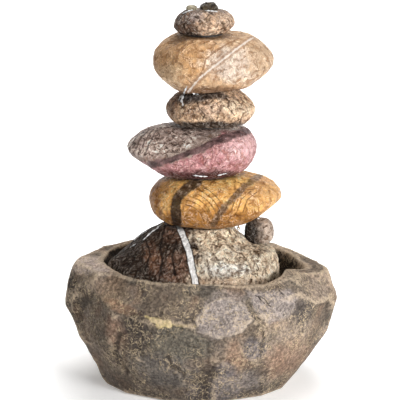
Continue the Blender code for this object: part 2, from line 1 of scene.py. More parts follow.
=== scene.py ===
"""Looks of the tabletop water fountain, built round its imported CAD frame.

The basin and the stones are grown from their CAD solids: each is remeshed finely, then worked in mesh code
with lumps, wrinkles, cuts and cracks. Each stores its painted colours, and how far each point is from its
painted lines in mm, for its material to read. The other pieces keep their CAD shape.
"""

import math
from itertools import product

import bpy
import numpy as np
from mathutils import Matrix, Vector


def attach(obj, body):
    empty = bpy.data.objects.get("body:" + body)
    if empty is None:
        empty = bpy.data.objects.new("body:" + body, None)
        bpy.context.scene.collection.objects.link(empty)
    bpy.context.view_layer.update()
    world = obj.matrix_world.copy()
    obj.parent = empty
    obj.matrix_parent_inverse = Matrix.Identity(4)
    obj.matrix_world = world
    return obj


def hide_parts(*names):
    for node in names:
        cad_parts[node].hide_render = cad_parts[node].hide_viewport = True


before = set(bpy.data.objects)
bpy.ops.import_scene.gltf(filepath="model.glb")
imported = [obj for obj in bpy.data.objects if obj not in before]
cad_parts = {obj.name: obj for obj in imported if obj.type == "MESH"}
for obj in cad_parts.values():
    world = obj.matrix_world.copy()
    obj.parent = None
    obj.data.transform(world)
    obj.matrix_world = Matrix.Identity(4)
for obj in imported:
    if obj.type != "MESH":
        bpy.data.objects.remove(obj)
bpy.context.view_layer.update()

MM = 0.001
# Farther than anything is from anything, in mm.
FAR = 1e3

# Camera: how steeply it looks down, its distance, what it aims at, how wide it sees there, and its sensor.
VIEW_UP = math.radians(13.5)
VIEW_DISTANCE = 1.9
VIEW_TARGET = Vector((-0.0014, 0, 0.1715))
VIEW_WIDTH = 0.372
SENSOR_WIDTH = 36

# Painted lines are drawn as the camera sees them, and run through a stone along its slope.
SLANT = math.tan(VIEW_UP)

# The riser's bore runs up through the stones. Relief starts outside it and is full from the fade radius on.
RISER_X = 6 * MM
BORE_KEEP = 10 * MM
BORE_FADE = 18 * MM

# How far a point stands out, as stored on a rock: name, rounds of relaxing that make its surroundings, and
# the height in mm that counts as 1.
STANDOUTS = (("edge", 10, 0.22), ("form", 90, 1.1))

# Relief of a river stone: how wide its lumps, wrinkles and grain are, and how wide its lines wander, in mm.
LUMP = 22
WRINKLE = 8
GRAIN = 3.4
WANDER = 7


# ---- objects and meshes

def placed(name, data):
    """A new object in the scene."""
    thing = bpy.data.objects.new(name, data)
    bpy.context.scene.collection.objects.link(thing)
    return thing


def face(thing, place, aim):
    """Stands a camera or a lamp at a place and turns it to face another."""
    thing.location = place
    thing.rotation_euler = (Vector(aim) - Vector(place)).to_track_quat("-Z", "Y").to_euler()


def new_mesh(name, points, faces, look):
    mesh = bpy.data.meshes.new(name)
    mesh.from_pydata(points, [], faces)
    mesh.polygons.foreach_set("use_smooth", [True] * len(faces))
    mesh.materials.append(look)
    return mesh


def dress(mesh, look):
    """Gives a mesh one material in place of any it had."""
    mesh.materials.clear()
    mesh.materials.append(look)


def rings(count, sides):
    """Faces between rings of points, each ring joined to the next."""
    faces = []
    for ring in range(count - 1):
        for side in range(sides):
            corner = ring * sides + side
            after = ring * sides + (side + 1) % sides
            faces.append((corner, after, after + sides, corner + sides))
    return faces


# ---- noise

def lattice(cells, seed):
    """Three fixed pseudo-random numbers from -1 to 1 for each cell of a lattice."""
    primes = np.array([73856093, 19349663, 83492791], np.uint64)
    key = (cells.astype(np.uint64) * primes).sum(axis=1) + np.uint64(seed * 7919 + 1)
    key = (key ^ (key >> np.uint64(31))) * np.uint64(0x9E3779B97F4A7C15)
    key = (key ^ (key >> np.uint64(29))) * np.uint64(0xBF58476D1CE4E5B9)
    key = key ^ (key >> np.uint64(32))
    parts = [(key >> np.uint64(shift)) & np.uint64(0xFFFF) for shift in (0, 16, 32)]
    return np.stack(parts, axis=1).astype(float) / 32767.5 - 1


def noise(points, size, seed):
    """Smooth noise of about -1 to 1, with bumps about `size` metres across."""
    where = points / size
    cell = np.floor(where)
    offset = where - cell
    ease = offset ** 3 * (offset * (offset * 6 - 15) + 10)
    total = np.zeros(len(points))
    for corner in product((0, 1), repeat=3):
        corner = np.array(corner)
        slope = lattice((cell + corner).astype(np.int64), seed)
        height = ((offset - corner) * slope).sum(axis=1)
        total += np.where(corner, ease, 1 - ease).prod(axis=1) * height
    return total * 1.6


def fractal(points, size, seed, octaves=3, gain=0.5):
    """Noise with finer and finer bumps added on top."""
    total = np.zeros(len(points))
    for octave in range(octaves):
        total += gain ** octave * noise(points, size / 2 ** octave, seed + octave)
    return total


def creases(points, size, seed, octaves=2):
    """From 0 on the flats to 1 along thin winding lines."""
    bent = points + 0.35 * size * np.stack([noise(points, size, seed + k) for k in (11, 12, 13)], axis=1)
    return np.clip(1 - 3.2 * np.abs(fractal(bent, size, seed, octaves)), 0, 1)


def chips(points, size, seed):
    """Distance to the nearest of many scattered points, over `size`: 0 at a point, about 1 between them."""
    where = points / size
    cell = np.floor(where)
    nearest = np.full(len(points), 9.0)
    for step in product((-1, 0, 1), repeat=3):
        neighbour = cell + np.array(step)
        centre = neighbour + 0.5 + 0.45 * lattice(neighbour.astype(np.int64), seed)
        nearest = np.minimum(nearest, np.linalg.norm(where - centre, axis=1))
    return nearest


def smooth(value, low, high):
    """0 up to low, 1 from high on, and a smooth step between; low may be the larger of the two."""
    along = np.clip((value - low) / (high - low), 0, 1)
    return along * along * (3 - 2 * along)


# ---- rocks grown from CAD solids

def face_on(points):
    """Across and up in mm, as the lines on the stones are drawn."""
    return np.stack([points[:, 0], points[:, 2] + SLANT * points[:, 1]], axis=1) / MM


def runs(line):
    """The straight runs of a line, each as its start and its end."""
    line = np.array(line, float)
    return list(zip(line, line[1:]))


def line_distance(points, *lines):
    """How far each point is from the nearest of some lines drawn face on, in mm."""
    drawn = face_on(points)
    nearest = np.full(len(points), FAR)
    for start, end in sum(map(runs, lines), []):
        run = end - start
        along = np.clip((drawn - start) @ run / (run @ run), 0, 1)
        away = np.linalg.norm(drawn - start - along[:, None] * run, axis=1)
        nearest = np.minimum(nearest, away)
    return nearest


def inside(drawn, outline):
    """How deep each point lies in a convex outline drawn face on, counter-clockwise, in mm."""
    depth = np.full(len(drawn), FAR)
    for start, end in runs(outline + outline[:1]):
        run = (end - start) / np.linalg.norm(end - start)
        depth = np.minimum(depth, run[0] * (drawn[:, 1] - start[1]) - run[1] * (drawn[:, 0] - start[0]))
    return depth


def read(items, field, width, kind=float):
    """One row of numbers for each vertex or edge of a mesh."""
    values = np.zeros(len(items) * width, kind)
    items.foreach_get(field, values)
    return values.reshape(-1, width)


class Rock:
    """A fine mesh grown from a CAD node, whose points are worked as numpy arrays."""

    def __init__(self, node, voxel):
        self.node = node
        self.object = placed(node + "_rock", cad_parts[node].data.copy())
        remesh = self.object.modifiers.new("remesh", "REMESH")
        remesh.mode = "VOXEL"
        remesh.voxel_size = voxel
        graph = bpy.context.evaluated_depsgraph_get()
        mesh = bpy.data.meshes.new_from_object(self.object.evaluated_get(graph))
        self.object.modifiers.clear()
        self.object.data = mesh
        self.mesh = mesh
        self.points = read(mesh.vertices, "co", 3)
        self.edges = read(mesh.edges, "vertices", 2, np.int64)
        self.neighbours = np.bincount(self.edges.ravel(), minlength=len(self.points))[:, None]

    def normals(self):
        self.mesh.vertices.foreach_set("co", self.points.ravel())
        self.mesh.update()
        return read(self.mesh.vertices, "normal", 3)

    def relaxed(self, values, rounds):
        """Each round, each point takes half its own value and half its neighbours' mean."""
        first, second = self.edges.T
        for _ in range(rounds):
            total = np.zeros_like(values)
            for column in range(values.shape[1]):
                total[:, column] = np.bincount(first, values[second, column], len(values))
                total[:, column] += np.bincount(second, values[first, column], len(values))
            values = 0.5 * values + 0.5 * total / self.neighbours
        return values

    def soften(self, rounds):
        self.points = self.relaxed(self.points, rounds)

    def push(self, amount):
        """Moves each point out along its normal by its own amount, in metres."""
        self.points = self.points + self.normals() * np.asarray(amount)[:, None]

    def keep(self, name, values, kind="FLOAT", field="value"):
        """Stores one number for each point, for the material to read."""
        layer = self.mesh.attributes.new(name, kind, "POINT")
        layer.data.foreach_set(field, np.asarray(values, np.float32).ravel())

    def keep_paint(self, colours):
        opaque = np.ones((len(colours), 1))
        self.keep("paint", np.hstack([colours, opaque]), "FLOAT_COLOR", "color")

    def finish(self, body, slot, look):
        """Stores how far each point stands out of its surroundings, and puts the rock on its body."""
        normals = self.normals()
        for name, rounds, full in STANDOUTS:
            out = ((self.points - self.relaxed(self.points, rounds)) * normals).sum(axis=1)
            self.keep(name, np.clip(out / (full * MM), -1.5, 1.5))
        self.mesh.polygons.foreach_set("use_smooth", np.ones(len(self.mesh.polygons), bool))
        dress(self.mesh, look)
        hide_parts(self.node)
        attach(self.object, body)
        return self.object


def sideways(points):
    """The level direction away from the middle, at each point."""
    away = points * np.array([1, 1, 0])
    return away / (np.linalg.norm(away, axis=1)[:, None] + 1e-9)


def shown_front(rock):
    """1 on the outside of the front half, 0 elsewhere."""
    outward = (rock.normals() * sideways(rock.points)).sum(axis=1)
    return smooth(outward, -0.2, 0.1) * smooth(rock.points[:, 1], 10 * MM, -10 * MM)


def spot(drawn, centre, size, edge, turn=0, ragged=0):
    """1 inside an ellipse drawn face on, 0 outside; `edge` is the soft share of its radius."""
    cosine, sine = math.cos(math.radians(turn)), math.sin(math.radians(turn))
    across, up = ((drawn - np.array(centre, float)) @ np.array([[cosine, -sine], [sine, cosine]])).T
    away = np.hypot(across / size[0], up / size[1]) + ragged
    return smooth(away, 1 + edge / 2, 1 - edge / 2)


def slice_flat(rock, place, normal, soft=1.5, radius=None, seed=0):
    """Takes off what stands past a plane, with a softened edge, out to an uneven radius. Sizes are in mm."""
    place = np.array(place, float) * MM
    normal = np.array(normal, float) / np.linalg.norm(normal)
    offset = rock.points - place
    height = offset @ normal
    cut_height = -soft * MM * np.logaddexp(0, -height / (soft * MM))
    amount = smooth(rock.normals() @ normal, -0.1, 0.3)
    if radius is not None:
        away = np.linalg.norm(offset - height[:, None] * normal, axis=1) / (radius * MM)
        away = away + 0.15 * noise(rock.points, radius * 0.6 * MM, seed + 70)
        amount = amount * smooth(away, 1.15, 0.75)
    rock.points = rock.points + (amount * (cut_height - height))[:, None] * normal


def near(points, place, reach, full=0):
    """1 within `full` of a place, 0 from `reach` on, in mm."""
    return smooth(np.linalg.norm(points - np.array(place) * MM, axis=1), reach * MM, full * MM)


def blended(colours, colour, amount):
    return colours + (np.array(colour) - colours) * amount[:, None]


def painted(points, ground, clouds, patches, where, seed):
    """Soft colours: a ground, clouds of other colours all over it, and patches drawn face on.

    A cloud is (colour, size in mm, strength). A patch is (place, size, colour, strength, softness), and may
    end with its turn in degrees.
    """
    colours = np.full((len(points), 3), ground)
    for number, (colour, size, strength) in enumerate(clouds):
        cover = smooth(fractal(points, size * MM, seed + 4 * number), 0, 0.55)
        colours = blended(colours, colour, strength * cover)
    ragged = 0.25 * fractal(points, 8 * MM, seed + 30)
    drawn = face_on(points)
    for centre, size, colour, strength, edge, *turn in patches:
        cover = spot(drawn, centre, size, edge, *turn, ragged=ragged)
        colours = blended(colours, colour, where * strength * cover)
    return colours


def river_rock(node, slot, look, stone, seed, voxel=0.7, lumps=0.7, wrinkles=0.35, grain=0.14):
    """One stone of the stack. `stone` holds its colours, cuts, bulges and lines; relief depths are in mm."""
    rock = Rock(node, voxel * MM)
    rock.soften(6)
    start = rock.points.copy()
    for place, normal in stone.get("cuts", ()):
        slice_flat(rock, place, normal, stone.get("cut_softness", 1.5))
    for place, reach, height in stone.get("bulges", ()):
        rock.push(height * MM * near(start, place, reach))
    free = smooth(np.hypot(start[:, 0] - RISER_X, start[:, 1]), BORE_KEEP, BORE_FADE)
    rock.push(free * lumps * MM * fractal(start, LUMP * MM, seed, 2))
    rock.push(-free * wrinkles * MM * creases(start, WRINKLE * MM, seed + 20))
    rock.push(free * grain * MM * fractal(start, GRAIN * MM, seed + 40, 2, 0.7))
    wander = 0.4 * noise(start, WANDER * MM, seed + 60)
    for name, lines in stone.get("lines", {}).items():
        rock.keep(name, line_distance(start, *lines) + wander)
    front = smooth(start[:, 1], 34 * MM, 18 * MM)
    colours = painted(start, stone["ground"], stone["clouds"], stone.get("patches", ()), front, seed + 80)
    rock.keep_paint(colours)
    if "grey" in stone:
        drawn = face_on(start)
        rock.keep("grey", front * np.max([spot(drawn, *place) for place in stone["grey"]], axis=0))
    return rock.finish("tower", slot, look)


# ---- materials

class Look:
    """A material and its node tree, with one call for each kind of node it uses. Sizes are in mm."""

    def __init__(self, name, roughness, **sockets):
        self.material = bpy.data.materials.new(name)
        self.material.use_nodes = True
        self.nodes = self.material.node_tree.nodes
        self.shader = self.nodes["Principled BSDF"]
        for key, value in {"roughness": roughness, **sockets}.items():
            self.shader.inputs[key.replace("_", " ").title().replace("Ior", "IOR")].default_value = value
        self.place = self.add("TexCoord", {}).outputs["Object"]

    def add(self, kind, inputs, **settings):
        """A shader node with these values or links on its inputs."""
        node = self.nodes.new("ShaderNode" + kind)
        for key, value in settings.items():
            setattr(node, key, value)
        for key, value in inputs.items():
            self.put(node.inputs[key], value)
        return node

    def put(self, socket, value):
        """Links another node's output, or sets a number or a colour."""
        if isinstance(value, bpy.types.NodeSocket):
            self.material.node_tree.links.new(value, socket)
        elif isinstance(value, tuple) and len(value) == 3 and socket.type == "RGBA":
            socket.default_value = (*value, 1)
        else:
            socket.default_value = value

    def calculate(self, operation, first, second=0.0):
        return self.add("Math", {0: first, 1: second}, operation=operation).outputs[0]

    def times(self, first, second):
        return self.calculate("MULTIPLY", first, second)

    def stored(self, name, kind="Fac"):
        """What the mesh stores: a number, or a colour if kind is Color."""
        return self.add("Attribute", {}, attribute_name=name).outputs[kind]

    def stretched(self, across, deep, up):
        """The place, pulled out by these factors along the axes."""
        scale = (1 / across, 1 / deep, 1 / up)
        return self.add("Mapping", {"Vector": self.place, "Scale": scale}).outputs[0]

    def noise(self, size, detail=4, roughness=0.6, distortion=0.0, place=None):
        inputs = {"Vector": place or self.place, "Scale": 1 / (size * MM), "Detail": detail,
                  "Roughness": roughness, "Distortion": distortion}
        return self.add("TexNoise", inputs).outputs["Fac"]

    def bands(self, direction, scale, distortion):
        """Even bands along an axis, 314 mm over the scale apart."""
        inputs = {"Vector": self.place, "Scale": scale, "Distortion": distortion}
        return self.add("TexWave", inputs, bands_direction=direction).outputs["Fac"]

    def crests(self, size, distortion):
        """1 along thin winding lines, falling away between them."""
        wave = self.calculate("SUBTRACT", self.noise(size, 3, 0.55, distortion), 0.5)
        return self.calculate("SUBTRACT", 1.0, self.times(self.calculate("ABSOLUTE", wave), 4.0))

    def step(self, value, low, high):
        """0 up to low and 1 from high on, smooth between; low may be the larger of the two."""
        start, end = (0.0, 1.0) if low < high else (1.0, 0.0)
        inputs = {"Value": value, "From Min": min(low, high), "From Max": max(low, high), "To Min": start,
                  "To Max": end}
        return self.add("MapRange", inputs, interpolation_type="SMOOTHSTEP").outputs["Result"]

    def ramp(self, value, *stops):
        """A colour for each value: stops are (value, colour)."""
        node = self.add("ValToRGB", {"Fac": value})
        elements = node.color_ramp.elements
        for element, (position, colour) in zip(elements, (stops[0], stops[-1])):
            element.position = position
            element.color = (*colour, 1)
        for position, colour in stops[1:-1]:
            elements.new(position).color = (*colour, 1)
        return node.outputs["Color"]

    def mix(self, amount, first, second, blend="MIX"):
        """One colour over another. The node's colour sockets are its inputs 6 and 7 and its output 2."""
        inputs = {0: amount, 6: first, 7: second}
        kind = {"data_type": "RGBA", "blend_type": blend, "clamp_result": True}
        return self.add("Mix", inputs, **kind).outputs[2]

    def tinted(self, first, second):
        """The two colours multiplied."""
        return self.mix(1.0, first, second, "MULTIPLY")

    def face_on_up(self):
        """The height that painted lines are drawn at, in mm."""
        place = self.add("SeparateXYZ", {0: self.place}).outputs
        up = self.calculate("ADD", place["Z"], self.times(place["Y"], SLANT))
        return self.times(up, 1 / MM)

    def paint(self, cover, share, colour):
        """Lays a colour over the look's own where it is covered; share is how strongly."""
        self.colour = self.mix(self.times(cover, share), self.colour, colour)

    def paint_line(self, name, half_width, colour, share, ragged=0.5, soft=0.35):
        """Paints a stored line, with a ragged edge. Widths are in mm."""
        ragged_by = self.times(self.calculate("SUBTRACT", self.noise(3), 0.5), 2 * ragged)
        away = self.calculate("ADD", self.stored(name), ragged_by)
        self.paint(self.step(away, half_width + soft, half_width - soft), share, colour)

    def wash_and_painted_light(self, dark, dark_share, light, light_share):
        """A dark wash left in the hollows and a pale one brushed over what stands out; they are also painted
        shade in the hollows and painted highlights on the rises.
        """
        edge = self.stored("edge")
        self.paint(self.step(edge, -0.05, -0.9), dark_share, dark)
        self.paint(self.step(edge, 0.15, 1.1), light_share, light)

    def bump(self, *layers):
        """Fine relief: layers are (height, depth in mm)."""
        normal = None
        for height, depth in layers:
            below = {"Normal": normal} if normal else {}
            inputs = {"Strength": 1.0, "Distance": depth * MM, "Height": height, **below}
            normal = self.add("Bump", inputs).outputs[0]
        self.put(self.shader.inputs["Normal"], normal)
        self.put(self.shader.inputs["Coat Normal"], normal)

    def finish(self, colour=None, roughness=None):
        """The material, with this colour or the look's own."""
        self.put(self.shader.inputs["Base Color"], colour or self.colour)
        if roughness is not None:
            self.put(self.shader.inputs["Roughness"], roughness)
        return self.material


def wet_stone(name, roughness=0.5, size=5.0, contrast=0.5, highlight_curls=0.5, folds=1.5, gloss=0.2,
              flow=1.0, crackle=1.3, glints=0.25):
    """Painted cast stone under running water: stored colour, mottled, on fine folds, with pale crests painted
    as wet highlights.
    """
    coat = {"coat_weight": gloss, "coat_roughness": 0.1, "coat_ior": 1.4}
    look = Look(name, roughness, specular_ior_level=0.06, **coat)
    look.place = look.stretched(1, 1, flow)
    low, high = 1 - contrast, 1 + 0.8 * contrast
    dark, light = (low, low * 0.84, low * 0.7), (high, high * 0.98, high * 0.95)
    mottle = look.noise(size, 5, 0.68, 0.5)
    shade = look.ramp(mottle, (0.38, dark), (0.5, (1, 1, 1)), (0.62, light))
    look.colour = look.tinted(look.stored("paint", "Color"), shade)
    gaps = look.step(look.crests(size * 1.6, 0.7), 0.9, 0.975)
    gaps = look.times(gaps, look.step(look.noise(size * 3, 2), 0.45, 0.58))
    look.paint(gaps, min(crackle * contrast, 0.85), (0.04, 0.018, 0.009))
    # Pale curls along the crests, brightened and whitened by glints, are painted highlights of the wet sheen.
    crests = look.crests(size, 0.9)
    wet = look.mix(glints, look.tinted(look.colour, (1.9, 1.84, 1.76)), (0.97, 0.92, 0.86))
    highlight_cover = look.times(look.step(crests, 0.88, 0.965), look.step(look.noise(size * 2, 2), 0.42, 0.54))
    look.paint(highlight_cover, highlight_curls, wet)
    # Paint wash in the hollows and on the rises, which is also painted shade in the hollows and painted
    # highlights on the rises.
    look.wash_and_painted_light((0.035, 0.018, 0.01), 0.6, (0.82, 0.7, 0.57), 0.2)
    look.bump((mottle, 2.4), (crests, folds), (look.noise(1.8, 3, 0.6), 0.3))
    return look


def crown_look():
    return wet_stone("wet crown stone", size=4.5, contrast=0.72, highlight_curls=0.95, glints=0.4).finish()


def tan_look():
    look = wet_stone("wet tan stone", contrast=0.3, highlight_curls=0.75, folds=0.9, crackle=0.7)
    look.paint_line("arcs", 0.5, (0.34, 0.2, 0.1), 0.4)
    look.paint_line("crease", 0.9, (0.24, 0.12, 0.055), 0.7, 1.0)
    look.paint_line("vein", 2.8, (0.33, 0.2, 0.125), 0.6, 1.0, 0.7)
    look.paint_line("vein", 0.8, (0.8, 0.71, 0.63), 0.75, 0.9)
    return look.finish()


def brown_look():
    look = wet_stone("wet brown stone", contrast=0.6, highlight_curls=0.85, folds=1.8, crackle=1.0)
    look.paint_line("cracks", 0.55, (0.05, 0.026, 0.016), 0.75, 0.9)
    return look.finish()


def rose_look():
    look = wet_stone("wet rose stone", 0.38, contrast=0.2, highlight_curls=0.7, folds=1.4, gloss=0.35, crackle=0.6)
    grey = ((0.4, (0.035, 0.02, 0.016)), (0.49, (0.48, 0.36, 0.3)), (0.59, (0.98, 0.87, 0.79)))
    grey = look.ramp(look.noise(3.8, 4, 0.7, 0.8), *grey)
    broad = look.ramp(look.noise(13, 2), (0.42, (0.62, 0.55, 0.53)), (0.58, (1.28, 1.24, 1.22)))
    grey = look.tinted(grey, broad)
    look.paint(look.stored("grey"), 0.85, grey)
    dusky = look.ramp(look.noise(7, 4, 0.6), (0.36, (0.06, 0.035, 0.036)), (0.64, (0.25, 0.145, 0.14)))
    look.paint_line("ripples", 0.5, (0.05, 0.03, 0.024), 0.75, 0.5)
    look.paint_line("stripe", 3.6, dusky, 0.94, 2.2, 1.1)
    return look.finish()


def ochre_look():
    look = wet_stone("wet ochre stone", 0.4, size=5.5, contrast=0.34, highlight_curls=0.75, folds=1.2, gloss=0.3,
                     crackle=0.4, glints=0.36)
    speckle = look.noise(4.5, 5, 0.66)
    grey = ((0.4, (0.03, 0.014, 0.007)), (0.52, (0.13, 0.08, 0.05)), (0.62, (0.46, 0.34, 0.25)))
    dark = ((0.47, (0.01, 0.006, 0.004)), (0.6, (0.035, 0.02, 0.013)), (0.7, (0.24, 0.17, 0.12)))
    grey, dark = look.ramp(speckle, *grey), look.ramp(speckle, *dark)
    dark = look.mix(look.step(look.face_on_up(), 168, 182), dark, grey)
    look.paint_line("scratches", 0.45, (0.11, 0.045, 0.012), 0.75, 0.15, 0.3)
    look.paint_line("stripe_left", 4.6, dark, 0.93, 2.0, 1.0)
    look.paint_line("stripe_right", 3.0, grey, 0.8, 2.6, 1.4)
    return look.finish()


def base_look():
    look = wet_stone("wet veined stone", size=4.8, contrast=0.66, highlight_curls=0.95, folds=1.9, gloss=0.13,
                     flow=1.7, glints=0.16)
    look.paint_line("cracks", 0.9, (0.012, 0.007, 0.005), 0.85, 1.6)
    look.paint_line("vein", 3.6, (0.03, 0.02, 0.016), 0.9, 1.8)
    look.paint_line("vein", 2.6, (0.93, 0.91, 0.89), 1.0, 1.2)
    return look.finish()


def plain_wet_look(name):
    return wet_stone(name, size=4.5, highlight_curls=0.6, folds=1.0, crackle=0.4).finish()


def basin_look():
    """Cast and painted rock: grit, flecks, pits, worn ridges with painted highlights and hollows with painted
    shade, over the colour stored on the mesh.
    """
    look = Look("rough cast rock", 0.8, specular_ior_level=0.2)
    broad = look.ramp(look.noise(16, 4, 0.6, 0.5), (0.36, (0.75, 0.75, 0.75)), (0.64, (1.12, 1.13, 1.12)))
    grain = look.noise(2.6, 4, 0.72, 0.4)
    fine = look.ramp(grain, (0.38, (0.55, 0.52, 0.5)), (0.5, (0.97, 0.97, 0.97)), (0.62, (1.65, 1.6, 1.52)))
    look.colour = look.tinted(look.tinted(look.stored("paint", "Color"), broad), fine)
    crests = look.crests(6.0, 1.0)
    patchy = look.step(look.noise(26, 3), 0.4, 0.56)
    look.paint(look.times(look.step(crests, 0.91, 0.965), patchy), 0.7, (0.62, 0.48, 0.3))
    pits = look.step(look.noise(4.4, 5, 0.7, 0.4), 0.375, 0.33)
    look.paint(pits, 0.65, (0.035, 0.027, 0.02))
    # Worn paint on the ridges, which is also a painted highlight there.
    worn_and_highlit_ridges = look.times(look.step(look.stored("form"), 0.4, 0.95), look.step(grain, 0.36, 0.58))
    look.paint(worn_and_highlit_ridges, 0.42, (0.56, 0.44, 0.32))
    # Painted shade in the broad hollows.
    look.paint(look.step(look.stored("form"), -0.15, -0.9), 0.4, (0.06, 0.045, 0.035))
    look.paint_line("crack", 0.6, (0.02, 0.015, 0.012), 0.85)
    # Paint wash in the hollows and on what stands out, which is also painted shade and painted highlights.
    look.wash_and_painted_light((0.05, 0.038, 0.028), 0.35, (0.6, 0.48, 0.34), 0.25)
    look.bump((look.noise(6, 5, 0.66), 2.4), (crests, 0.7), (look.noise(2.2, 3, 0.6), 0.9))
    return look.finish()


def water_look():
    """A thin lit film, whiter where it breaks up."""
    look = Look("running water", 0.08, transmission_weight=0.35, ior=1.33)
    foam = look.noise(2.2, 4, 0.65)
    look.bump((foam, 0.3))
    return look.finish(look.ramp(foam, (0.4, (0.93, 0.94, 0.95)), (0.6, (0.99, 0.99, 0.99))))


def cloudy(name, roughness, noise, low, high, bump=None, **sockets):
    """Two tones in soft clouds. `noise` and `bump` are noise settings, and bump's last is its depth in mm."""
    look = Look(name, roughness, **sockets)
    if bump:
        look.bump((look.noise(*bump[:-1]), bump[-1]))
    return look.finish(look.ramp(look.noise(*noise), (0.3, low), (0.7, high)))


def drop_look():
    tones = (0.86, 0.8, 0.7), (0.95, 0.92, 0.88)
    return cloudy("hanging water drop", 0.03, (5,), *tones, (3, 2, 0.1), transmission_weight=1.0, ior=1.33)


def moulded(name, colour, roughness, grain=0.12, wear=1.5):
    """Moulded plastic or rubber: a fine grain, faint flow marks and handling wear."""
    look = Look(name, roughness)
    flow = look.noise(14, 3, 0.5, 0.6)
    low = tuple(channel * 0.8 for channel in colour)
    high = tuple(min(channel * wear, 1) for channel in colour)
    shade = look.ramp(flow, (0.3, low), (0.55, colour), (0.75, high))
    look.bump((look.noise(0.5, 2, 0.5), grain))
    rough = look.step(look.noise(5, 3), 0.2, 0.9)
    return look.finish(shade, look.calculate("ADD", look.times(rough, 0.25), roughness - 0.1))


def pump_looks():
    """A material for each CAD piece that keeps its own shape."""
    case = moulded("moulded pump plastic", (0.022, 0.023, 0.026), 0.45)
    rubber = moulded("black rubber", (0.03, 0.029, 0.028), 0.72, 0.2)
    cases = "pump_housing", "impeller_cover", "intake_cover", "dial_rivet"
    rubbers = "cable_grommet", "pump_cable_gland", "shaft_bush_rear", "shaft_bush_front", "cover_gasket"
    looks = {
        **dict.fromkeys(cases, case),
        **dict.fromkeys(rubbers, rubber),
        "flow_dial": moulded("blue dial plastic", (0.04, 0.14, 0.3), 0.35, 0.05),
        "impeller": moulded("white impeller plastic", (0.72, 0.72, 0.68), 0.35, 0.05, 1.1),
        "coil_bobbin": moulded("bobbin nylon", (0.66, 0.64, 0.56), 0.5, 0.05, 1.15),
        "potting_plug": moulded("potting resin", (0.03, 0.03, 0.035), 0.2, 0.05),
        "outlet_nozzle": moulded("nozzle plastic", (0.03, 0.03, 0.03), 0.35),
    }
    for number in range(1, 5):
        looks[f"suction_cup_{number}"] = rubber
        looks[f"foot_pad_{number}"] = moulded("foot pad rubber", (0.05, 0.048, 0.046), 0.85, 0.3)
    for number in range(1, 6):
        looks[f"joint_bed_{number}"] = moulded("dark sealant", (0.03, 0.023, 0.018), 0.4, 0.4)
    looks["rotor_magnet"] = ferrite_look()
    ceramic = (0.78, 0.76, 0.71), (0.88, 0.87, 0.83)
    looks["rotor_shaft"] = cloudy("polished white ceramic", 0.15, (3, 3, 0.5), *ceramic, (0.6, 2, 0.02))
    looks["stator_core"] = lamination_look()
    looks["coil_winding"] = winding_look()
    vinyl = (0.72, 0.8, 0.8), (0.86, 0.9, 0.9)
    looks["riser_tube"] = cloudy("clear vinyl tube", 0.12, (10, 3, 0.5), *vinyl, (2.5, 2, 0.1),
                                 transmission_weight=0.85, ior=1.45)
    return looks


def ferrite_look():
    look = Look("ground ferrite", 0.4, metallic=0.35)
    speckle = look.noise(0.8, 3, 0.7)
    look.bump((look.noise(1.2, 2, place=look.stretched(6, 0.4, 6)), 0.08))
    return look.finish(look.ramp(speckle, (0.3, (0.03, 0.03, 0.034)), (0.7, (0.075, 0.075, 0.085))))


def lamination_look():
    """Sheet steel stacked along the rotor's axis, drawn coarser than it is."""
    look = Look("core laminations", 0.38, metallic=1)
    sheets = look.bands("Y", 100, 0)
    look.bump((sheets, 0.12))
    look.colour = look.ramp(look.noise(9, 3), (0.3, (0.22, 0.22, 0.24)), (0.7, (0.42, 0.42, 0.42)))
    look.paint(look.step(sheets, 0.25, 0.05), 1, (0.06, 0.06, 0.065))
    return look.finish()


def winding_look():
    """Enamelled copper wire in turns side by side, drawn coarser than it is."""
    look = Look("enamelled copper wire", 0.25, metallic=1, coat_weight=0.6)
    turns = look.bands("X", 120, 0.3)
    look.bump((turns, 0.2))
    look.colour = look.ramp(look.noise(4, 3), (0.3, (0.42, 0.14, 0.05)), (0.7, (0.62, 0.26, 0.1)))
    look.paint(look.step(turns, 0.3, 0.05), 0.8, (0.1, 0.03, 0.012))
    return look.finish()


def dress_cad_pieces():
    for node, look in pump_looks().items():
        dress(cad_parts[node].data, look)


# ---- the object's rocks

# The basin's mesh is this fine. Then its relief: width and depth of lumps, grain and chips. All in mm.
BASIN_VOXEL = 1.2
BASIN_LUMPS = (34, 1.2)
BASIN_GRAIN = (7, 0.3)
BASIN_CHIPS = (11, 0.3)
# Flat cuts on the basin's outside: place, facing and radius, in mm.
BASIN_CUTS = (
    ((22, -108.5, 80), (0.14, -0.97, 0.08), 30),
    ((60, -90, 98), (0.4, -0.72, 0.56), 42),
    ((-64, -86, 96), (-0.46, -0.68, 0.58), 44),
    ((-15, -103, 97), (-0.06, -0.76, 0.65), 34),
    ((-58, -96, 66), (-0.58, -0.81, -0.1), 30),
    ((-20, -108, 62), (-0.12, -0.95, -0.28), 34),
    ((-96, -60, 74), (-0.85, -0.52, 0.04), 34),
    ((-80, -68, 38), (-0.58, -0.66, -0.46), 34),
    ((-28, -96, 32), (-0.22, -0.85, -0.46), 34),
    ((36, -97, 36), (0.22, -0.84, -0.48), 34),
    ((72, -82, 58), (0.58, -0.78, -0.22), 30),
    ((104, -46, 60), (0.86, -0.45, -0.22), 30),
)
# Shoulders that stand out: place, reach and height, in mm.
BASIN_BULGES = (
    ((-108, -14, 119), 30, 6),
    ((104, -16, 117), 34, 9),
    ((-118, -20, 98), 34, 4.5),
    ((82, -36, 112), 26, -7),
    ((117, -16, 98), 22, 2),
    ((0, 104, 104), 40, 3),
    ((-60, 90, 96), 30, 2.5),
)
# Where the rim rises over the solid's: place, reach and height, in mm.
RIM_LIFTS = (
    ((0, -88, 106), 60, 3),
    ((74, -44, 114), 34, 4.5),
)
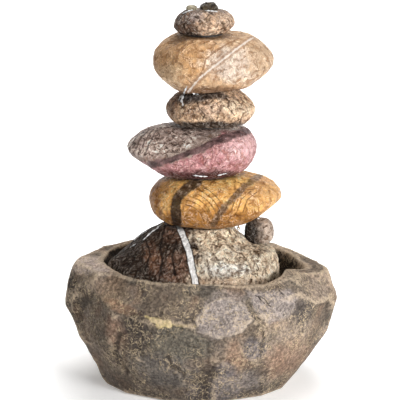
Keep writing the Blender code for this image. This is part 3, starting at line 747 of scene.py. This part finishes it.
# The basin's colours: its own, clouds all over it, painted shade in its cracks and its inside, and patches on
# its front.
DARK_GREY = (0.07, 0.06, 0.055)
GREY_GREEN = (0.115, 0.103, 0.084)
LILAC = (0.29, 0.25, 0.235)
BEIGE = (0.35, 0.275, 0.22)
ORANGE = (0.32, 0.185, 0.115)
YELLOW = (0.56, 0.45, 0.22)
SLATE = (0.12, 0.108, 0.115)
BASIN_GROUND = (0.142, 0.11, 0.085)
BASIN_CLOUDS = ((DARK_GREY, 40, 0.6), (BEIGE, 36, 0.45), (ORANGE, 26, 0.25), (GREY_GREEN, 20, 0.4))
CRACK_SHADE_COLOUR = (0.045, 0.034, 0.028)
INSIDE_SHADE_COLOUR = (0.02, 0.014, 0.01)
BASIN_PATCHES = (
    # Painted shade: the lower part of the front is darker.
    ((-50, 10), (90, 50), (0.07, 0.055, 0.045), 0.45, 0.8),
    ((0, -14), (120, 24), (0.08, 0.065, 0.055), 0.4, 0.9),
    ((-97, 111), (22, 9), (0.56, 0.46, 0.41), 0.8, 0.6),
    ((-98, 92), (12, 9), BEIGE, 0.5, 0.7),
    ((-82, 88), (16, 12), (0.24, 0.17, 0.115), 0.6, 0.7),
    ((-72, 72), (18, 5), ORANGE, 0.6, 0.8, -22),
    ((-58, 50), (16, 19), (0.045, 0.037, 0.034), 0.9, 0.5, 10),
    ((-20, 38), (28, 16), GREY_GREEN, 0.9, 0.4, -12),
    ((-36, 14), (30, 16), (0.12, 0.108, 0.1), 0.7, 0.6, -10),
    ((108, 88), (16, 14), BEIGE, 0.5, 0.8),
    ((88, 50), (18, 14), BEIGE, 0.5, 0.8, 30),
    ((80, 22), (24, 14), (0.29, 0.175, 0.12), 0.5, 0.9, 30),
    ((32, 3), (24, 9), (0.22, 0.19, 0.18), 0.6, 0.8),
    ((30, 26), (9, 14), ORANGE, 0.4, 0.9),
    ((49, 34), (12, 11), SLATE, 0.8, 0.6),
    ((22, 14), (9, 8), SLATE, 0.7, 0.6),
    ((-79, 48), (8, 17), (0.26, 0.165, 0.12), 0.6, 0.9, 8),
    # Painted shade: the far left edge is darker.
    ((-124, 84), (12, 30), (0.04, 0.032, 0.028), 0.75, 0.8),
    # Painted shade: darker along the bottom and at the foot of the centre groove.
    ((0, -22), (110, 10), DARK_GREY, 0.6, 1),
    ((12, -8), (22, 10), SLATE, 0.65, 0.9),
    # Painted shade in the dent on the right.
    ((95, 67), (11, 12), (0.075, 0.065, 0.062), 0.8, 0.9),
)
# Painted facets: outline drawn face on, colour, strength, softness in mm and how far they stand out in mm.
BASIN_FACETS = (
    ([(60, 58), (82, 64), (87, 82), (80, 88), (40, 86), (50, 66)], LILAC, 0.85, 5, 0),
    ([(2, 74), (36, 70), (44, 84), (12, 86)], LILAC, 0.5, 8, 0),
    ([(-8, 60), (-2, 48.5), (14, 43), (36, 49.5), (46, 62), (40, 74), (24, 80), (6, 76)],
     LILAC, 0.8, 3.6, 0.8),
    ([(-48, 64), (-37, 54), (-26, 54), (-27, 61)], YELLOW, 1, 1.5, 0.4),
    ([(-30, 57), (-20, 54.5), (-4, 53.5), (-4, 56.5), (-18, 57.5)], YELLOW, 0.5, 2, 0),
)
# Cracks and grooves: line, half width and depth, in mm.
BASIN_CRACKS = (
    ([(-76, 46), (-79, 36), (-80, 25), (-73, 14), (-69, 8)], 4.5, 1.4),
    ([(-30, 27), (-27, 18), (-16, 10)], 3.5, 0.8),
    ([(50, 62), (57, 52), (56, 30)], 5, 0.5),
    ([(10, 16), (3, 4), (2, -22)], 11, 1.5),
)
# Fine cracks near the rim, painted dark.
FINE_CRACKS = (
    [(48, 83), (54, 82.5), (59, 79.5), (63, 74)],
    [(51, 82), (57, 77)],
    [(70, 88), (74, 84)],
)
BASIN_DENTS = (
    ((96, 66), (14, 13), 2),
    ((62, 73), (18, 6), 1),
    ((-58, 44), (12, 12), 1),
    ((4, 86), (22, 5), 1.4),
)


def basin_rock():
    rock = Rock("basin", BASIN_VOXEL * MM)
    rock.soften(3)
    start = rock.points.copy()
    off_floor = smooth(start[:, 2], 2 * MM, 9 * MM)
    for place, reach, height in BASIN_BULGES:
        rock.points = rock.points + sideways(start) * (height * MM * near(start, place, reach))[:, None]
    wide, deep = BASIN_LUMPS
    rock.push(off_floor * deep * MM * fractal(start, wide * MM, 3, 2))
    for number, (place, normal, radius) in enumerate(BASIN_CUTS):
        slice_flat(rock, place, normal, 1.0, radius, number)
    for place, reach, height in RIM_LIFTS:
        rock.points[:, 2] += height * MM * near(start, place, reach, 5)
    front = shown_front(rock)
    drawn = face_on(start)
    ragged = 2.0 * fractal(start, 9 * MM, 60)
    for outline, _, _, _, height in BASIN_FACETS:
        rock.push(front * height * MM * smooth(inside(drawn, outline) + ragged, -0.4, 1.2))
    for centre, size, depth in BASIN_DENTS:
        rock.push(-front * depth * MM * spot(drawn, centre, size, edge=1.2))
    cracks = [smooth(line_distance(start, line) + 0.5 * ragged, width, 0) for line, width, _ in BASIN_CRACKS]
    for crack, (_, _, depth) in zip(cracks, BASIN_CRACKS):
        rock.push(-front * depth * MM * crack)
    wide, deep = BASIN_GRAIN
    rock.push(off_floor * deep * MM * fractal(start, wide * MM, 43, 3, 0.6))
    wide, deep = BASIN_CHIPS
    rock.push(-off_floor * deep * MM * smooth(chips(start, wide * MM, 44), 0.22, 0.08))
    colours = painted(start, BASIN_GROUND, BASIN_CLOUDS, BASIN_PATCHES, front, 80)
    # Cracks and grooves painted dark, as painted shade in them.
    for crack in cracks:
        colours = blended(colours, CRACK_SHADE_COLOUR, 0.75 * front * crack)
    for outline, colour, strength, softness, _ in BASIN_FACETS:
        cover = smooth(inside(drawn, outline) + ragged, -softness / 2, softness / 2)
        colours = blended(colours, colour, front * strength * cover)
    # Painted shade: where the wall faces in, the basin's inside is painted dark.
    inward = -(rock.normals() * start).sum(axis=1) / np.hypot(start[:, 0], start[:, 1])
    colours = blended(colours, INSIDE_SHADE_COLOUR, 0.85 * smooth(inward, 0.3, 0.8))
    rock.keep_paint(colours)
    rock.keep("crack", line_distance(start, *FINE_CRACKS) + 4 * (1 - front))
    return rock.finish("basin", "basin_rock", basin_look())


CROWN = {
    "ground": (0.44, 0.29, 0.195),
    "clouds": (((0.14, 0.08, 0.05), 8, 0.8), ((0.62, 0.45, 0.32), 6, 0.6)),
    "patches": (
        # Painted shade: the crown's left side is darker.
        ((-17, 336), (13, 16), (0.09, 0.05, 0.035), 0.85, 0.6),
        ((-4, 341), (7, 5), (0.3, 0.23, 0.21), 0.6, 0.7),
        ((16, 336), (16, 9), (0.54, 0.37, 0.25), 0.7, 0.7),
        # Painted shade along the crown's bottom edge, at the joint.
        ((-12, 324.5), (18, 3), (0.035, 0.018, 0.011), 0.85, 0.9),
        # Painted light: the bottom right is lightened where it lies in shade.
        ((15, 327), (16, 5), (0.7, 0.48, 0.33), 0.8, 0.8),
        ((4, 349), (30, 4), (0.1, 0.075, 0.06), 0.7, 0.9),
    ),
    "cuts": (
        ((-24, -4, 341), (-0.86, -0.1, 0.5)), ((22, -10, 330), (0.6, -0.4, -0.7)),
        ((-14, -20, 345), (-0.5, -0.7, 0.5)), ((30, -6, 340), (0.85, -0.3, 0.35)),
        ((-20, -14, 326), (-0.6, -0.4, -0.7)),
    ),
    "bulges": (((3, -3, 349), 24, 1.6),),
}
TAN = {
    "ground": (0.53, 0.35, 0.21),
    "clouds": (((0.4, 0.22, 0.1), 12, 0.6), ((0.64, 0.48, 0.33), 10, 0.5)),
    "patches": (
        ((-18, 303), (30, 22), (0.52, 0.285, 0.12), 0.75, 0.8),
        ((-30, 288), (14, 10), (0.6, 0.43, 0.27), 0.6, 0.8),
        # Painted shade: the tan stone's left end is darker.
        ((-52, 303), (9, 24), (0.28, 0.15, 0.065), 0.75, 0.9, -8),
        # Painted shadow: the band under the crown is darker.
        ((-8, 323), (22, 3), (0.18, 0.09, 0.045), 0.5, 0.9),
        ((33, 297), (28, 16), (0.6, 0.49, 0.41), 0.85, 0.7),
        ((54, 303), (14, 20), (0.45, 0.31, 0.195), 0.85, 0.8),
        # Painted shade along the bottom edge, at the joint.
        ((12, 272), (38, 4), (0.16, 0.085, 0.045), 0.85, 0.9),
    ),
    "cuts": (
        ((-33, 0, 281.5), (-0.68, 0, -0.73)), ((49, 0, 284), (0.62, 0, -0.78)),
        ((-30, -10, 320), (-0.5, -0.2, 0.84)), ((-36, -24, 300), (-0.78, -0.6, 0.1)),
        ((-47, -10, 291), (-0.85, -0.25, -0.45)),
    ),
    "lines": {
        "vein": [[(47, 323.5), (21, 302), (-1.4, 284), (-12, 272)]],
        "crease": [[(33, 321), (24, 316), (12, 308), (4, 301), (1, 291)],
                   [(-14, 316), (-22, 308), (-24, 299)]],
        "arcs": [[(41, 316), (46, 305), (43, 292), (34, 283)], [(50, 315), (55, 303), (51, 290)],
                 [(33, 310), (37, 300), (34, 290)]],
    },
}
BROWN = {
    "ground": (0.68, 0.45, 0.285),
    "clouds": (((0.16, 0.085, 0.05), 8, 0.75), ((0.68, 0.5, 0.35), 7, 0.6)),
    "patches": (
        ((-2, 268.5), (34, 4.2), (0.055, 0.045, 0.042), 0.8, 0.8),
        ((-10, 266), (14, 5), (0.05, 0.045, 0.045), 0.8, 0.7),
        # Painted shade: the left end is darker.
        ((-28, 261), (7, 13), (0.24, 0.14, 0.09), 0.7, 0.8),
        ((32, 257), (14, 8), (0.66, 0.5, 0.36), 0.7, 0.8),
        ((8, 256), (12, 8), (0.6, 0.42, 0.31), 0.7, 0.8),
        # Painted shade along the bottom edge, at the joint.
        ((6, 241.2), (44, 3.4), (0.02, 0.011, 0.008), 0.95, 0.9),
    ),
    "cuts": (((-24, -14, 268), (-0.5, -0.4, 0.76)), ((38, -10, 269), (0.55, -0.3, 0.78))),
    "lines": {
        "cracks": [[(-4, 263), (-2, 256), (3, 251), (1, 246)], [(13, 262), (17, 255), (14, 247)],
                   [(-21, 262), (-15, 256), (-17, 249)], [(26, 265), (24, 258), (30, 250)]],
    },
}
ROSE = {
    "ground": (0.45, 0.215, 0.222),
    "clouds": (((0.33, 0.12, 0.125), 9, 0.6), ((0.6, 0.35, 0.36), 8, 0.5)),
    "patches": (
        ((-30, 227), (50, 19), (0.33, 0.25, 0.21), 0.95, 0.25, 14),
        ((30, 245), (62, 9), (0.34, 0.26, 0.23), 0.95, 0.4, 8),
        ((44, 242), (16, 4), (0.3, 0.21, 0.2), 0.85, 0.6, 12),
        ((-46, 212), (16, 6), (0.42, 0.29, 0.25), 0.7, 0.7, -28),
        # Painted highlight on the right.
        ((36, 223), (14, 13), (0.7, 0.44, 0.45), 0.75, 0.8),
        # Painted shade along the top edge, under the brown stone.
        ((8, 244), (34, 2.5), (0.04, 0.02, 0.018), 0.85, 0.8, 3),
        # Painted shade along the bottom edge.
        ((3, 192.5), (46, 6.5), (0.055, 0.014, 0.016), 0.95, 0.9),
        ((54, 216), (6, 20), (0.26, 0.1, 0.11), 0.7, 0.8),
    ),
    "grey": (
        ((-34, 231), (39, 16), 0.35, 14),
        ((24, 244), (56, 6.5), 0.4, 6),
    ),
    "cuts": (((-48, -10, 205), (-0.52, -0.1, -0.85)), ((-30, -30, 232), (-0.2, -0.55, 0.81))),
    "lines": {
        "stripe": [[(-46, 204.5), (-28.5, 209.5), (-12, 217), (-1.4, 220), (10, 226), (21, 229), (44, 238)]],
        "ripples": [[(4 * k - 64, 223 - 3 * k), (4 * k - 61, 230 - k), (4 * k - 54, 237)] for k in range(4)],
    },
}


def scratch_lines():
    """Fine parallel arcs across the ochre stone, in two sets."""
    lines = []
    for number in range(6):
        radius = 18 + 4.2 * number
        turns = [math.radians(turn) for turn in range(8, 92 - 5 * number, 7)]
        lines.append([(-16 + radius * math.cos(turn), 149 + radius * math.sin(turn)) for turn in turns])
    for number in range(4):
        across = 34 + 5.5 * number
        lines.append([(across, 182 - number), (across - 9, 172), (across - 13, 160)])
    return lines


OCHRE = {
    "ground": (0.76, 0.41, 0.13),
    "clouds": (((0.38, 0.165, 0.04), 11, 0.65), ((0.8, 0.5, 0.17), 10, 0.5)),
    "patches": (
        # Painted shade: the left end is darker.
        ((-46, 173), (9, 25), (0.36, 0.14, 0.016), 0.8, 0.9),
        # Painted shade along the bottom.
        ((10, 151), (64, 12), (0.3, 0.125, 0.025), 0.85, 0.9),
        ((56, 179), (22, 13), (0.52, 0.29, 0.115), 0.75, 0.8),
        # Painted light: the top under the rose stone is lightened where it lies in shade.
        ((34, 189), (16, 5), (0.95, 0.58, 0.19), 0.8, 0.8),
        # Painted shadow along the top edge, under the rose stone.
        ((-6, 193), (32, 3.2), (0.07, 0.03, 0.012), 0.9, 0.9),
    ),
    "cuts": (((-40, -20, 186), (-0.55, -0.3, 0.78)), ((60, -10, 164), (0.6, -0.2, -0.77))),
    "lines": {
        "stripe_left": [[(-4, 189), (-15.5, 181), (-22, 173), (-24, 164), (-22.5, 150)]],
        "stripe_right": [[(54.4, 195), (41, 186), (21, 165), (10.5, 149)]],
        "scratches": scratch_lines(),
    },
}
BASE = {
    "ground": (0.66, 0.53, 0.39),
    "clouds": (((0.28, 0.17, 0.095), 10, 0.55), ((0.82, 0.73, 0.6), 8, 0.65)),
    "patches": (
        ((-60, 120), (54, 60), (0.025, 0.011, 0.006), 0.97, 0.2),
        ((-66, 34), (60, 56), (0.03, 0.017, 0.012), 0.9, 0.4),
        ((-26, 140), (12, 10), (0.16, 0.085, 0.055), 0.7, 0.7),
        ((-22, 108), (12, 15), (0.22, 0.12, 0.08), 0.8, 0.7),
        ((-45, 118), (8, 14), (0.19, 0.09, 0.05), 0.75, 0.8, 20),
        ((-36, 103), (10, 7), (0.12, 0.065, 0.045), 0.6, 0.8, 10),
        ((14, 140), (18, 10), (0.8, 0.62, 0.43), 0.8, 0.8),
        ((12, 108), (16, 12), (0.62, 0.54, 0.44), 0.6, 0.8),
        # Pale patch painted as wet glints on the light part.
        ((24, 106), (20, 6), (0.88, 0.83, 0.76), 0.7, 1),
        ((20, 95), (40, 5), (0.3, 0.19, 0.12), 0.5, 0.9),
        ((62, 126), (14, 12), (0.42, 0.33, 0.22), 0.5, 0.8),
    ),
    "cuts": (((-61, 0, 134), (-0.59, -0.05, 0.81)),),
    "bulges": (((64, -26, 131), 15, 5), ((50, -30, 138), 10, 2), ((-84, -10, 112), 16, 3)),
    "lines": {
        "vein": [[(-21, 147), (-16, 135.5), (-11.5, 123.5), (-8.7, 108), (-4.5, 91), (1, 60), (-3, 30),
                  (2, -20)]],
        "cracks": [[(-34, 146), (-38, 130), (-36, 112), (-39, 97)], [(-52, 134), (-47, 120), (-52, 106)],
                   [(-23, 132), (-27, 118), (-24, 101)]],
    },
}
PEBBLE = {
    "ground": (0.41, 0.325, 0.265),
    "clouds": (((0.12, 0.085, 0.065), 8, 0.7), ((0.5, 0.41, 0.34), 7, 0.6)),
    # Painted shade: the pebble's left side is darker.
    "patches": (((43, 139), (11, 20), (0.012, 0.008, 0.006), 0.97, 0.9),),
}
DARK_ROCK = {
    "ground": (0.06, 0.045, 0.03),
    "clouds": (((0.015, 0.011, 0.008), 4, 0.7), ((0.2, 0.165, 0.1), 3, 0.5)),
    "cuts": (
        ((8, -4, 355.3), (-0.12, -0.1, 1)), ((1, -4, 354), (-0.5, -0.1, 0.86)),
        ((13.5, -4, 354), (0.75, 0, 0.66)), ((4, -9, 353), (0.1, -0.8, 0.6)),
    ),
    "cut_softness": 0.4,
}
PALE_PEBBLE = {
    "ground": (0.4, 0.36, 0.26),
    "clouds": (((0.2, 0.17, 0.12), 4, 0.6), ((0.6, 0.56, 0.44), 3, 0.5)),
}


def stacked_rocks():
    grey, dark, pale = [plain_wet_look(f"wet {name}") for name in ("grey pebble", "dark rock", "pale pebble")]
    return [
        river_rock("base_stone", "veined_stone", base_look(), BASE, 5, 0.9, 1.1, 0.55, 0.25),
        river_rock("side_pebble", "grey_pebble", grey, PEBBLE, 6, 0.6, lumps=0.4),
        river_rock("ochre_stone", "ochre_stone", ochre_look(), OCHRE, 7, 0.66, wrinkles=0.25),
        river_rock("rose_stone", "rose_stone", rose_look(), ROSE, 8, wrinkles=0.4),
        river_rock("brown_stone", "brown_stone", brown_look(), BROWN, 9, wrinkles=0.5, grain=0.2),
        river_rock("tan_stone", "tan_stone", tan_look(), TAN, 10, wrinkles=0.25),
        river_rock("crown_stone", "crown_stone", crown_look(), CROWN, 11, 0.6, wrinkles=0.55, grain=0.25),
        river_rock("spout_rock", "dark_rock", dark, DARK_ROCK, 12, 0.4, 0.8, 0.3),
        river_rock("cap_pebble", "pale_pebble", pale, PALE_PEBBLE, 13, 0.3, 0.3, 0.2),
    ]


# ---- water

# Strands of water over the stones: points drawn face on, and the widest radius, in mm.
STRANDS = (
    ([(-17, 345), (-12, 347), (-7, 348.5)], 0.9),
    ([(3, 347.5), (9, 346.8), (16, 346)], 0.9),
    ([(-13, 277), (-16, 271), (-18, 264), (-16, 258)], 1.6),
    ([(-18, 270), (-21, 264)], 1.0),
    ([(-8, 271), (-2, 269.5)], 1.1),
    ([(-63, 132), (-57, 138), (-50, 142)], 1.2),
    ([(-54, 133), (-46, 141), (-38, 146)], 1.0),
    ([(-41, 145), (-34, 150)], 1.1),
    ([(-66, 126), (-60, 130)], 0.9),
    ([(-8, 195), (0, 193.8), (7, 193.8)], 0.9),
    ([(14, 194.5), (24, 197)], 0.9),
)
# Points along each run of a strand's line; how far it stands off the stone, in its widest radii; and how far
# back a surface may face before the strand skips it.
STRAND_STEPS = 6
STRAND_RISE = 0.4
FACING_AWAY = 0.5
# Drops that hang from the ochre stone's lower edge: place across, and radius, in mm.
DROPS = ((34, 1.6), (29, 1.1), (53, 1.2))
# A drop's shape: rise above its tip and width, in radii. It meets the stone at the root's rise.
DROP_PROFILE = ((0.0, 0.05), (0.2, 0.6), (0.6, 0.95), (1.1, 1.0), (1.6, 0.8), (2.2, 0.45), (2.8, 0.25))
DROP_ROOT = 2.6
# The drawn height where the search for the stone's edge starts, and its step, in mm.
DROP_SEARCH = (140, 0.25)


def tube(points, radii, sides=8):
    """Vertices and faces of a tube through some points, closed at both ends."""
    points = np.array(points)
    verts = []
    for number, (point, radius) in enumerate(zip(points, radii)):
        along = points[min(number + 1, len(points) - 1)] - points[max(number - 1, 0)]
        along = Vector(along).normalized()
        across = along.orthogonal().normalized()
        other = along.cross(across)
        for side in range(sides):
            turn = 2 * math.pi * side / sides
            verts.append(Vector(point) + radius * (math.cos(turn) * across + math.sin(turn) * other))
    ends = [tuple(reversed(range(sides))), tuple(range(len(verts) - sides, len(verts)))]
    return verts, rings(len(points), sides) + ends


def on_stones(stones, across, up):
    """The first point of the stones met along the drawn direction, and the surface's normal there."""
    start = Vector((across * MM, -0.4, up * MM + SLANT * 0.4))
    way = Vector((0, 1, -SLANT)).normalized()
    found = None
    for stone in stones:
        hit, place, normal, _ = stone.ray_cast(start, way)
        if hit and (found is None or place.y < found[0].y):
            found = (place, normal)
    return found


def water_piece(name, verts, faces, look):
    piece = placed(name, new_mesh(name, verts, faces, look))
    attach(piece, "tower")


def strand_path(stones, line, widest):
    """Points just over the stones' front, along a line drawn face on."""
    path = []
    for start, end in runs(line):
        for share in np.linspace(0, 1, STRAND_STEPS, endpoint=False):
            found = on_stones(stones, *(start + share * (end - start)))
            if found and found[1].y < FACING_AWAY:
                path.append(found[0] + STRAND_RISE * widest * MM * found[1])
    return path


def running_water(stones):
    film = water_look()
    for number, (line, widest) in enumerate(STRANDS, 1):
        path = strand_path(stones, line, widest)
        radii = []
        for step in range(len(path)):
            swell = 0.6 + 0.4 * math.sin(1.9 * step + number)
            taper = math.sin(math.pi * (step + 0.5) / len(path)) ** 0.5
            radii.append(widest * swell * taper * MM)
        if len(path) > 2:
            water_piece(f"water_strand_{number}", *tube(path, radii), film)
    drop = drop_look()
    ochre = [stone for stone in stones if stone.name.startswith("ochre")]
    for number, (across, radius) in enumerate(DROPS, 1):
        up = DROP_SEARCH[0]
        while not on_stones(ochre, across, up):
            up += DROP_SEARCH[1]
        root = on_stones(ochre, across, up)[0]
        path = [root + Vector((0, 0, (rise - DROP_ROOT) * radius * MM)) for rise, _ in DROP_PROFILE]
        radii = [wide * radius * MM for _, wide in DROP_PROFILE]
        water_piece(f"water_drop_{number}", *tube(path, radii, 12), drop)


# ---- room, lights, camera

# The studio's sheet: distance from the middle and height, in metres. Every camera stands inside it.
SHEET = ((3.4, 0), (3.7, 0.04), (3.9, 0.16), (4.0, 0.4), (4.0, 1.1))
SHEET_SIDES = 64
# Softboxes: name, place, what it faces, size in metres and power in watts.
MIDDLE = (0, 0, 0.18)
SOFTBOXES = (
    ("key", (0.85, -1.2, 0.6), MIDDLE, 0.5, 25),
    ("fill", (-1.2, -1.2, 0.5), MIDDLE, 1.0, 0.8),
    ("top", (0.25, 0.1, 1.4), MIDDLE, 0.7, 5.5),
    ("backdrop", (0, 0.75, 1.5), (0, 1.8, 0.3), 1.2, 32),
    ("far_backdrop", (0, 2.3, 1.6), (0, 3.0, 0), 1.0, 20),
)
SKY_COLOUR = (1, 0.95, 0.89, 1)
SKY_STRENGTH = 0.16


def floor():
    """A pale round sheet that lies flat under the fountain and rises far off, all the way round."""
    turns = [2 * math.pi * side / SHEET_SIDES for side in range(SHEET_SIDES)]
    points = [(far * math.cos(turn), far * math.sin(turn), up) for far, up in SHEET for turn in turns]
    faces = [tuple(range(SHEET_SIDES))] + rings(len(SHEET), SHEET_SIDES)
    paper = (0.92, 0.92, 0.92), (0.94, 0.94, 0.94)
    look = cloudy("pale paper", 0.9, (60,), *paper, emission_color=(1, 1, 1, 1), emission_strength=0.25)
    mesh = new_mesh("studio_floor", points, faces, look)
    mesh.polygons[0].use_smooth = False
    sheet = placed("studio_floor", mesh)


def lights():
    for name, place, aim, size, power in SOFTBOXES:
        light = bpy.data.lights.new(name, "AREA")
        light.size = size
        light.energy = power
        face(placed(name, light), place, aim)
    world = bpy.data.worlds.new("studio")
    world.use_nodes = True
    sky = world.node_tree.nodes["Background"]
    sky.inputs["Color"].default_value = SKY_COLOUR
    sky.inputs["Strength"].default_value = SKY_STRENGTH
    bpy.context.scene.world = world


def camera():
    data = bpy.data.cameras.new("camera")
    data.sensor_width = SENSOR_WIDTH
    data.lens = SENSOR_WIDTH * VIEW_DISTANCE / VIEW_WIDTH
    eye = placed("camera", data)
    back = Vector((0, -math.cos(VIEW_UP), math.sin(VIEW_UP)))
    face(eye, VIEW_TARGET + VIEW_DISTANCE * back, VIEW_TARGET)
    bpy.context.scene.camera = eye


camera()
lights()
floor()
dress_cad_pieces()
basin_rock()
running_water(stacked_rocks())
bpy.context.scene.view_settings.view_transform = "Standard"
